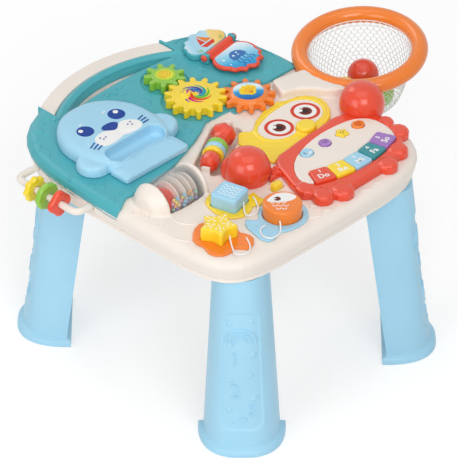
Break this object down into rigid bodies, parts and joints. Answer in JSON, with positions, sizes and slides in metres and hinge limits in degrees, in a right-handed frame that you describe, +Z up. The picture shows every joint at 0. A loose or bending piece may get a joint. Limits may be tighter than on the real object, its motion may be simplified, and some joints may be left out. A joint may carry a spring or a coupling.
{
  "type": "activity table",
  "caption": "Baby activity table on splayed legs with gears, seal tray, roller drum, spinner, crab keyboard, shape sorter, picture book, bead rail and ball hoop.",
  "frame": {"origin": "on the floor under the middle of the bounding box", "axes": "+Z up; -Y is the long front edge with the crab keyboard; +Y is the carry handle; +X is the ball hoop"},
  "size_m": [0.6252, 0.5128, 0.3413],
  "materials": {
    "cream_plastic": "satin cream moulding",
    "teal_plastic": "satin teal moulding",
    "deep_teal_plastic": "satin dark teal",
    "sky_plastic": "satin light blue moulding",
    "yellow_plastic": "semi-gloss yellow",
    "orange_plastic": "semi-gloss orange",
    "red_plastic": "semi-gloss red",
    "green_plastic": "semi-gloss green",
    "purple_plastic": "semi-gloss purple",
    "clear_plastic": "polished clear",
    "circuit_board": "green board with a speaker",
    "pastel_beads": "pastel beads",
    "white_net": "white knotted net",
    "white_cord": "white nylon cord"
  },
  "bodies": {
    "table": {"top_shell": "cream_plastic", "bottom_cover": "cream_plastic", "battery_door": "cream_plastic", "sound_board": "circuit_board", "teal_cover": "teal_plastic", "handle_grip": "cream_plastic", "seal_console": "sky_plastic", "leg_front_left": "sky_plastic", "leg_front_right": "sky_plastic", "leg_back_left": "sky_plastic", "leg_back_right": "sky_plastic", "book_base": "teal_plastic", "book_spine": "red_plastic", "owl_body": "yellow_plastic", "owl_face": "cream_plastic", "crab_body": "red_plastic", "crab_panel": "cream_plastic", "claw_left": "red_plastic", "claw_right": "red_plastic", "plate_square": "yellow_plastic", "plate_round": "sky_plastic", "plate_star": "orange_plastic", "cord_square": "white_cord", "cord_round": "white_cord", "cord_star": "white_cord", "bead_rod": "cream_plastic", "hoop_ring": "orange_plastic", "hoop_net": "white_net"},
    "drum": {"drum_shell": "clear_plastic", "drum_core": "red_plastic", "drum_beads": "pastel_beads"},
    "squid": {"squid_axle": "cream_plastic", "squid_head": "red_plastic", "squid_tail": "red_plastic"},
    "gear_yellow": {"gear_yellow": "yellow_plastic"},
    "gear_green": {"gear_green": "green_plastic"},
    "gear_orange": {"gear_orange": "orange_plastic"},
    "book_page": {"book_page": "red_plastic"},
    "ring_green": {"ring_green": "green_plastic"},
    "ring_blue": {"ring_blue": "sky_plastic"},
    "ring_yellow": {"ring_yellow": "yellow_plastic"},
    "key_do": {"key_do": "red_plastic"},
    "key_re": {"key_re": "yellow_plastic"},
    "key_mi": {"key_mi": "sky_plastic"},
    "key_fa": {"key_fa": "deep_teal_plastic"},
    "key_so": {"key_so": "purple_plastic"},
    "button_whale": {"button_whale": "sky_plastic"},
    "button_octopus": {"button_octopus": "purple_plastic"},
    "button_star": {"button_star": "yellow_plastic"},
    "button_shell": {"button_shell": "orange_plastic"},
    "power_switch": {"power_switch": "yellow_plastic"},
    "bead_red": {"bead_red": "red_plastic"},
    "bead_green": {"bead_green": "green_plastic"},
    "bead_yellow": {"bead_yellow": "yellow_plastic"},
    "peg_square": {"peg_square": "sky_plastic"},
    "peg_round": {"peg_round": "orange_plastic"},
    "peg_star": {"peg_star": "yellow_plastic"},
    "ball_red": {"ball_red": "red_plastic"},
    "ball_yellow": {"ball_yellow": "yellow_plastic"},
    "ball_green": {"ball_green": "green_plastic"}
  },
  "joints": [
    {"name": "gear_yellow_spin", "type": "hinge", "parent": "table", "child": "gear_yellow", "pos_m": [-0.01657, 0.08436, 0.3038], "axis": [0, 0, 1], "continuous": true},
    {"name": "gear_green_spin", "type": "hinge", "parent": "table", "child": "gear_green", "pos_m": [-0.0126, 0.14749, 0.3038], "axis": [0, 0, 1], "continuous": true},
    {"name": "gear_orange_spin", "type": "hinge", "parent": "table", "child": "gear_orange", "pos_m": [0.03962, 0.04015, 0.3038], "axis": [0, 0, 1], "continuous": true},
    {"name": "book_page_turn", "type": "hinge", "parent": "table", "child": "book_page", "pos_m": [0.08743, 0.14436, 0.3131], "axis": [-0.9877, -0.1564, 0], "range_deg": [0, 170]},
    {"name": "drum_roll", "type": "hinge", "parent": "table", "child": "drum", "pos_m": [-0.18857, -0.04464, 0.299], "axis": [1, 0, 0], "continuous": true},
    {"name": "squid_spin", "type": "hinge", "parent": "table", "child": "squid", "pos_m": [-0.07257, -0.01264, 0.303], "axis": [0.8721, 0.4894, 0], "continuous": true},
    {"name": "ring_green_spin", "type": "hinge", "parent": "squid", "child": "ring_green", "pos_m": [-0.07257, -0.01264, 0.303], "axis": [0.8721, 0.4894, 0], "continuous": true},
    {"name": "ring_blue_spin", "type": "hinge", "parent": "squid", "child": "ring_blue", "pos_m": [-0.07257, -0.01264, 0.303], "axis": [0.8721, 0.4894, 0], "continuous": true},
    {"name": "ring_yellow_spin", "type": "hinge", "parent": "squid", "child": "ring_yellow", "pos_m": [-0.07257, -0.01264, 0.303], "axis": [0.8721, 0.4894, 0], "continuous": true},
    {"name": "key_do_press", "type": "slide", "parent": "table", "child": "key_do", "axis": [0, 0, -1], "range_m": [0, 0.0025], "stiffness_N_per_m": 400, "springref_m": -0.0015},
    {"name": "key_re_press", "type": "slide", "parent": "table", "child": "key_re", "axis": [0, 0, -1], "range_m": [0, 0.0025], "stiffness_N_per_m": 400, "springref_m": -0.0015},
    {"name": "key_mi_press", "type": "slide", "parent": "table", "child": "key_mi", "axis": [0, 0, -1], "range_m": [0, 0.0025], "stiffness_N_per_m": 400, "springref_m": -0.0015},
    {"name": "key_fa_press", "type": "slide", "parent": "table", "child": "key_fa", "axis": [0, 0, -1], "range_m": [0, 0.0025], "stiffness_N_per_m": 400, "springref_m": -0.0015},
    {"name": "key_so_press", "type": "slide", "parent": "table", "child": "key_so", "axis": [0, 0, -1], "range_m": [0, 0.0025], "stiffness_N_per_m": 400, "springref_m": -0.0015},
    {"name": "button_whale_press", "type": "slide", "parent": "table", "child": "button_whale", "axis": [0, 0, -1], "range_m": [0, 0.002], "stiffness_N_per_m": 300, "springref_m": -0.0012},
    {"name": "button_octopus_press", "type": "slide", "parent": "table", "child": "button_octopus", "axis": [0, 0, -1], "range_m": [0, 0.002], "stiffness_N_per_m": 300, "springref_m": -0.0012},
    {"name": "button_star_press", "type": "slide", "parent": "table", "child": "button_star", "axis": [0, 0, -1], "range_m": [0, 0.002], "stiffness_N_per_m": 300, "springref_m": -0.0012},
    {"name": "button_shell_press", "type": "slide", "parent": "table", "child": "button_shell", "axis": [0, 0, -1], "range_m": [0, 0.002], "stiffness_N_per_m": 300, "springref_m": -0.0012},
    {"name": "power_switch_slide", "type": "slide", "parent": "table", "child": "power_switch", "axis": [1, 0, 0], "range_m": [-0.003, 0.003]},
    {"name": "bead_red_slide", "type": "slide", "parent": "table", "child": "bead_red", "axis": [0, 1, 0], "range_m": [-0.0065, 0.0065]},
    {"name": "bead_green_slide", "type": "slide", "parent": "table", "child": "bead_green", "axis": [0, 1, 0], "range_m": [-0.0065, 0.0065]},
    {"name": "bead_yellow_slide", "type": "slide", "parent": "table", "child": "bead_yellow", "axis": [0, 1, 0], "range_m": [-0.0065, 0.0065]},
    {"name": "peg_square_lift", "type": "slide", "parent": "table", "child": "peg_square", "axis": [0, 0, 1], "range_m": [0, 0.045]},
    {"name": "peg_round_lift", "type": "slide", "parent": "table", "child": "peg_round", "axis": [0, 0, 1], "range_m": [0, 0.045]},
    {"name": "peg_star_lift", "type": "slide", "parent": "table", "child": "peg_star", "axis": [0, 0, 1], "range_m": [0, 0.045]},
    {"name": "ball_red_lift", "type": "slide", "parent": "table", "child": "ball_red", "axis": [0, 0, 1], "range_m": [0, 0.13]},
    {"name": "ball_yellow_lift", "type": "slide", "parent": "table", "child": "ball_yellow", "axis": [0, 0, 1], "range_m": [0, 0.13]},
    {"name": "ball_green_lift", "type": "slide", "parent": "table", "child": "ball_green", "axis": [0, 0, 1], "range_m": [0, 0.13]}
  ],
  "couplings": [
    {"joint": "gear_green_spin", "follows": "gear_yellow_spin", "ratio": -1.5556},
    {"joint": "gear_orange_spin", "follows": "gear_yellow_spin", "ratio": -1.1667}
  ]
}
